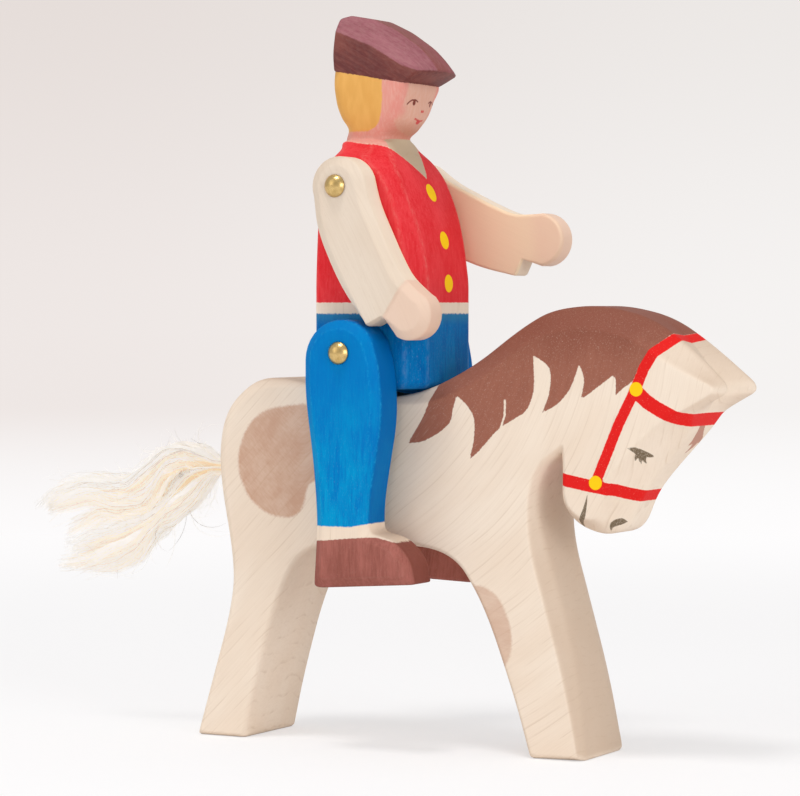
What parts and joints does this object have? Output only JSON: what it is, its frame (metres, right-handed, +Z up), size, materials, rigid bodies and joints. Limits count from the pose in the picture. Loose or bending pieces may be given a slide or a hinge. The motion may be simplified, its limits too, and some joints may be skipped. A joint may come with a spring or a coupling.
{
  "type": "wooden jointed rider on horse toy",
  "caption": "Flat sawn wooden horse with a switch tail, and a lift-off rider whose arms and legs swing on nails.",
  "frame": {"origin": "middle of the footprint, on the surface the hooves stand on", "axes": "+X from the tail to the nose, +Y towards the rider's left across the board, +Z up"},
  "size_m": [0.2296, 0.071, 0.2189],
  "materials": {
    "horse_wood": "satin clear coat over stained figure",
    "tail_fibre": "loose pale plant fibre",
    "binding_thread": "waxed thread",
    "torso_paint": "satin transparent paint",
    "arm_wood": "satin clear coat",
    "leg_paint": "satin transparent paint",
    "nail_brass": "polished"
  },
  "bodies": {
    "horse": {"horse_body": "horse_wood", "tail_hair": "tail_fibre", "tail_binding": "binding_thread"},
    "rider": {"torso": "torso_paint", "right_shoulder_nail": "nail_brass", "left_shoulder_nail": "nail_brass", "right_hip_nail": "nail_brass", "left_hip_nail": "nail_brass"},
    "right_arm": {"right_arm": "arm_wood"},
    "left_arm": {"left_arm": "arm_wood"},
    "right_leg": {"right_leg": "leg_paint"},
    "left_leg": {"left_leg": "leg_paint"}
  },
  "joints": [
    {"name": "rider_lift", "type": "slide", "parent": "horse", "child": "rider", "axis": [0, 0, 1], "range_m": [0, 0.09]},
    {"name": "right_shoulder", "type": "hinge", "parent": "rider", "child": "right_arm", "pos_m": [-0.00093, -0.0258, 0.16675], "axis": [0, -1, 0], "range_deg": [0, 270]},
    {"name": "left_shoulder", "type": "hinge", "parent": "rider", "child": "left_arm", "pos_m": [-0.00093, 0.0258, 0.16675], "axis": [0, -1, 0], "range_deg": [-38.5, 231.5]},
    {"name": "right_hip", "type": "hinge", "parent": "rider", "child": "right_leg", "pos_m": [0.00157, -0.027, 0.11775], "axis": [0, -1, 0], "range_deg": [-60, 20]},
    {"name": "left_hip", "type": "hinge", "parent": "rider", "child": "left_leg", "pos_m": [0.00157, 0.027, 0.11775], "axis": [0, -1, 0], "range_deg": [-54, 51]}
  ]
}
